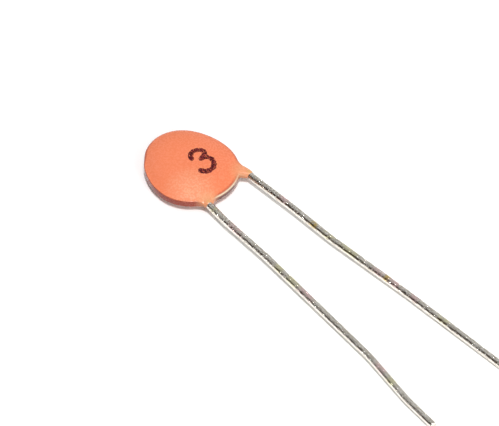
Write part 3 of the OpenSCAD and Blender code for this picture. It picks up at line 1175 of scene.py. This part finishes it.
@dataclass
class Studio:
    """Pale table, soft overhead light, soft light from the right and a plain dim room."""

    floor_size: float = 2.0
    floor_drop: float = 0.004
    floor_lift: float = 0.05
    key_height: float = 1.0
    key_turn: float = 318.7
    key_tilt: float = 13.0
    paper: float = 0.95
    floor_gain: float = 1.12
    mirror_gain: float = 1.4
    floor_tone: float = 0.42
    key_size: float = 0.14
    key_power: float = 5.9
    side_turn: float = -6.0
    side_rise: float = 22.0
    side_size: float = 0.4
    side_power: float = 3.4
    dark_turn: float = 243.0
    dark_rise: float = 8.0
    dark_core: float = 0.9
    dark_edge: float = 0.7
    dark_tone: tuple = (0.062, 0.046, 0.036, 1.0)
    wall_turn: float = 150.0
    wall_rise: float = 48.0
    wall_core: float = 0.72
    wall_edge: float = 0.5
    wall_dark: float = 0.3
    wall_light: float = 0.9
    clutter_scale: float = 5.0
    clutter_low: float = 0.4
    clutter_high: float = 0.62
    lead_turn: float = 25.0
    lead_rise: float = 30.0
    lead_core: float = 0.75
    lead_edge: float = 0.3
    lead_dark: float = 0.16
    lead_light: float = 0.5
    room_low: float = 0.03
    room_mid: float = 0.05
    room_high: float = 0.06

    def build(self) -> None:
        """Builds table, lamps and room."""
        self._floor()
        turn, tilt = math.radians(self.key_turn), math.radians(self.key_tilt)
        level = math.sin(tilt)
        above = Vector((math.cos(turn) * level, math.sin(turn) * level, math.cos(tilt)))
        self._lamp("overhead_softbox", above * self.key_height, self.key_size, self.key_power)
        turn, rise = math.radians(self.side_turn), math.radians(self.side_rise)
        level = math.cos(rise)
        away = Vector((math.cos(turn) * level, math.sin(turn) * level, math.sin(rise)))
        self._lamp("side_softbox", away, self.side_size, self.side_power)
        self._room()

    def _floor(self) -> None:
        """Builds the pale paper that the part lies on."""
        bm = bmesh.new()
        bmesh.ops.create_grid(bm, x_segments=8, y_segments=8, size=self.floor_size / 2)
        bmesh.ops.translate(bm, vec=(0, 0, -self.floor_drop * MM), verts=bm.verts)
        mesh = bpy.data.meshes.new("table_paper")
        bm.to_mesh(mesh)
        bm.free()
        material, sheet = start_material("white_paper")
        place = millimetres(sheet)
        fibre = sheet.put("TexNoise", {"Vector": place, "Scale": 4.0, "Detail": 5.0}).outputs[0]
        colour = sheet.ramp(fibre, (0.3, grey(self.floor_tone - 0.02)), (0.7, grey(self.floor_tone)))
        path = sheet.put("LightPath").outputs
        mirrored = sheet.maths("MAXIMUM", path["Is Glossy Ray"], path["Is Transmission Ray"])
        seen = sheet.maths("MAXIMUM", path["Is Camera Ray"], mirrored)
        lift = sheet.maths("MULTIPLY", seen, self.floor_lift)
        colour = sheet.mixed(seen, colour, grey(self.paper * self.floor_gain))
        colour = sheet.mixed(mirrored, colour, grey(self.paper * self.mirror_gain))
        sheet.put(
            "OutputMaterial",
            {
                0: sheet.put(
                    "BsdfPrincipled",
                    {
                        "Base Color": colour,
                        "Roughness": 0.9,
                        "Specular IOR Level": 0.1,
                        "Emission Color": (1.0, 1.0, 1.0, 1.0),
                        "Emission Strength": lift,
                    },
                ).outputs[0]
            },
        )
        mesh.materials.append(material)
        floor = bpy.data.objects.new("table_paper", mesh)
        bpy.context.scene.collection.objects.link(floor)

    @staticmethod
    def _lamp(name: str, place: Vector, size: float, power: float) -> None:
        """Hangs a square softbox that faces the part.

        Args:
            name: Name of the lamp.
            place: Where it hangs, in metres.
            size: Side of the square.
            power: Power in watts.
        """
        data = bpy.data.lights.new(name, "AREA")
        data.shape, data.size, data.energy = "SQUARE", size, power
        lamp = bpy.data.objects.new(name, data)
        lamp.location = place
        lamp.rotation_mode = "QUATERNION"
        lamp.rotation_quaternion = place.to_track_quat("Z", "Y")
        bpy.context.scene.collection.objects.link(lamp)

    def _room(self) -> None:
        """Gives the room dim walls, a lighter one behind, one beyond the leads and a dark corner."""
        world = bpy.data.worlds.new("dim_room")
        world.use_nodes = True
        bpy.context.scene.world = world
        sheet = Sheet(world.node_tree)
        towards = sheet.put("TexCoord").outputs["Generated"]
        up = sheet.put("SeparateXYZ", {0: towards}).outputs[2]
        tones = ((0.0, grey(self.room_low)), (0.5, grey(self.room_mid)), (1.0, grey(self.room_high)))
        level = sheet.ramp(up, *tones)
        pattern = {"Vector": towards, "Scale": self.clutter_scale, "Detail": 2.0}
        clutter = sheet.put("TexNoise", pattern).outputs[0]
        wall = (self.wall_turn, self.wall_rise, self.wall_edge, self.wall_core)
        lead = (self.lead_turn, self.lead_rise, self.lead_edge, self.lead_core)
        for patch, dark, light in (
            (wall, self.wall_dark, self.wall_light),
            (lead, self.lead_dark, self.lead_light),
        ):
            mask = self._patch(sheet, towards, *patch)
            tone = sheet.ramp(clutter, (self.clutter_low, grey(dark)), (self.clutter_high, grey(light)))
            level = sheet.mixed(mask, level, tone)
        corner = self._patch(
            sheet, towards, self.dark_turn, self.dark_rise, self.dark_edge, self.dark_core
        )
        level = sheet.mixed(corner, level, self.dark_tone)
        level = sheet.mixed(sheet.maths("LESS_THAN", up, 0.0), level, grey(1.0))
        background = sheet.put("Background", {0: level, 1: 1.0})
        sheet.put("OutputWorld", {0: background.outputs[0]})

    @staticmethod
    def _patch(
        sheet: Sheet, towards: Value, turn: float, rise: float, edge: float, core: float
    ) -> Socket:
        """Masks a soft round patch of the room.

        Args:
            sheet: Sheet of the world.
            towards: Direction socket.
            turn: Heading of the middle of the patch, in degrees.
            rise: Elevation of the middle of the patch, in degrees.
            edge: Cosine at which the patch ends.
            core: Cosine at which the patch is full.

        Returns:
            The mask, 1 inside the patch.
        """
        turn, rise = math.radians(turn), math.radians(rise)
        level = math.cos(rise)
        middle = (math.cos(turn) * level, math.sin(turn) * level, math.sin(rise))
        node = sheet.put("VectorMath", {0: towards, 1: middle}, operation="DOT_PRODUCT")
        span = {0: node.outputs["Value"], 1: edge, 2: core}
        return sheet.put("MapRange", span, interpolation_type="SMOOTHSTEP").outputs[0]


@dataclass
class ProductCamera:
    """Camera that looks down on the part along the leads' far side, without perspective."""

    right_turn: float = 48.7
    elevation: float = 48.6
    across: float = 499 / 15.7
    beside: float = 3.7197
    below: float = 2.777
    distance: float = 300.0

    def build(self, axis: Vector) -> None:
        """Places the camera.

        Args:
            axis: Middle of the disc in metres.
        """
        right = heading(self.right_turn).to_3d()
        forward = heading(self.right_turn + 90).to_3d()
        rise = math.radians(self.elevation)
        up = forward * math.sin(rise) + Vector((0, 0, math.cos(rise)))
        back = -forward * math.cos(rise) + Vector((0, 0, math.sin(rise)))
        aim = axis + (right * self.beside - up * self.below) * MM
        data = bpy.data.cameras.new("product_camera")
        data.type = "ORTHO"
        data.ortho_scale = self.across * MM
        data.clip_start, data.clip_end = 0.001, 10.0
        camera = bpy.data.objects.new("product_camera", data)
        camera.location = aim + back * self.distance * MM
        camera.rotation_mode = "QUATERNION"
        camera.rotation_quaternion = back.to_track_quat("Z", "Y")
        bpy.context.scene.collection.objects.link(camera)
        bpy.context.scene.camera = camera


FIGURE_STROKES = (
    (
        (-0.27, 0.27), (-0.47, 0.36), (-0.64, 0.54), (-0.69, 0.81), (-0.60, 1.04),
        (-0.44, 1.23), (-0.22, 1.29), (-0.03, 1.17), (0.07, 0.96), (0.14, 0.73),
    ),
    (
        (0.15, 0.75), (0.16, 0.95), (0.27, 1.13), (0.46, 1.24), (0.72, 1.23), (0.99, 1.09),
        (1.18, 0.86), (1.22, 0.60), (1.13, 0.32), (0.96, 0.15), (0.84, 0.09),
    ),
    ((1.24, 0.46), (1.18, 0.28), (1.02, 0.11), (0.90, 0.05)),
)


def keep_sizes() -> None:
    """Updates the view layer so that every piece's place is current."""
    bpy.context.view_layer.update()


def main() -> None:
    """Builds and dresses every piece, then the studio and the camera."""
    logging.basicConfig(level=logging.INFO, format="%(message)s")
    bpy.context.scene.view_settings.view_transform = "Standard"
    low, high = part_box("ceramic_disc")
    axis = (low + high) / 2
    effects = SharedEffects()
    resin, tin, ink = ResinFinish().make(effects), TinFinish().make(effects), InkFinish().make(effects)
    coat = DippedCoat(leads=(LEFT, RIGHT))
    pieces = [
        coat.build(axis, resin),
        TinnedLead("left_tinned_lead", "left_lead", LEFT).build(axis, tin),
        TinnedLead("right_tinned_lead", "right_lead", RIGHT, seed=40.0).build(axis, tin),
        StampedFigure(coat, FIGURE_STROKES).build(axis, ink),
    ]
    for piece in pieces:
        LOG.info("%s: %d faces", piece.name, len(piece.data.polygons))
    for node, finish in INNER_FINISHES.items():
        material = finish.make(effects)
        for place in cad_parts[node].material_slots:
            place.material = material
        LOG.info("%s: %s", node, finish.name)
    Studio().build()
    ProductCamera().build(axis)
    keep_sizes()


if __name__ == "__main__":
    main()
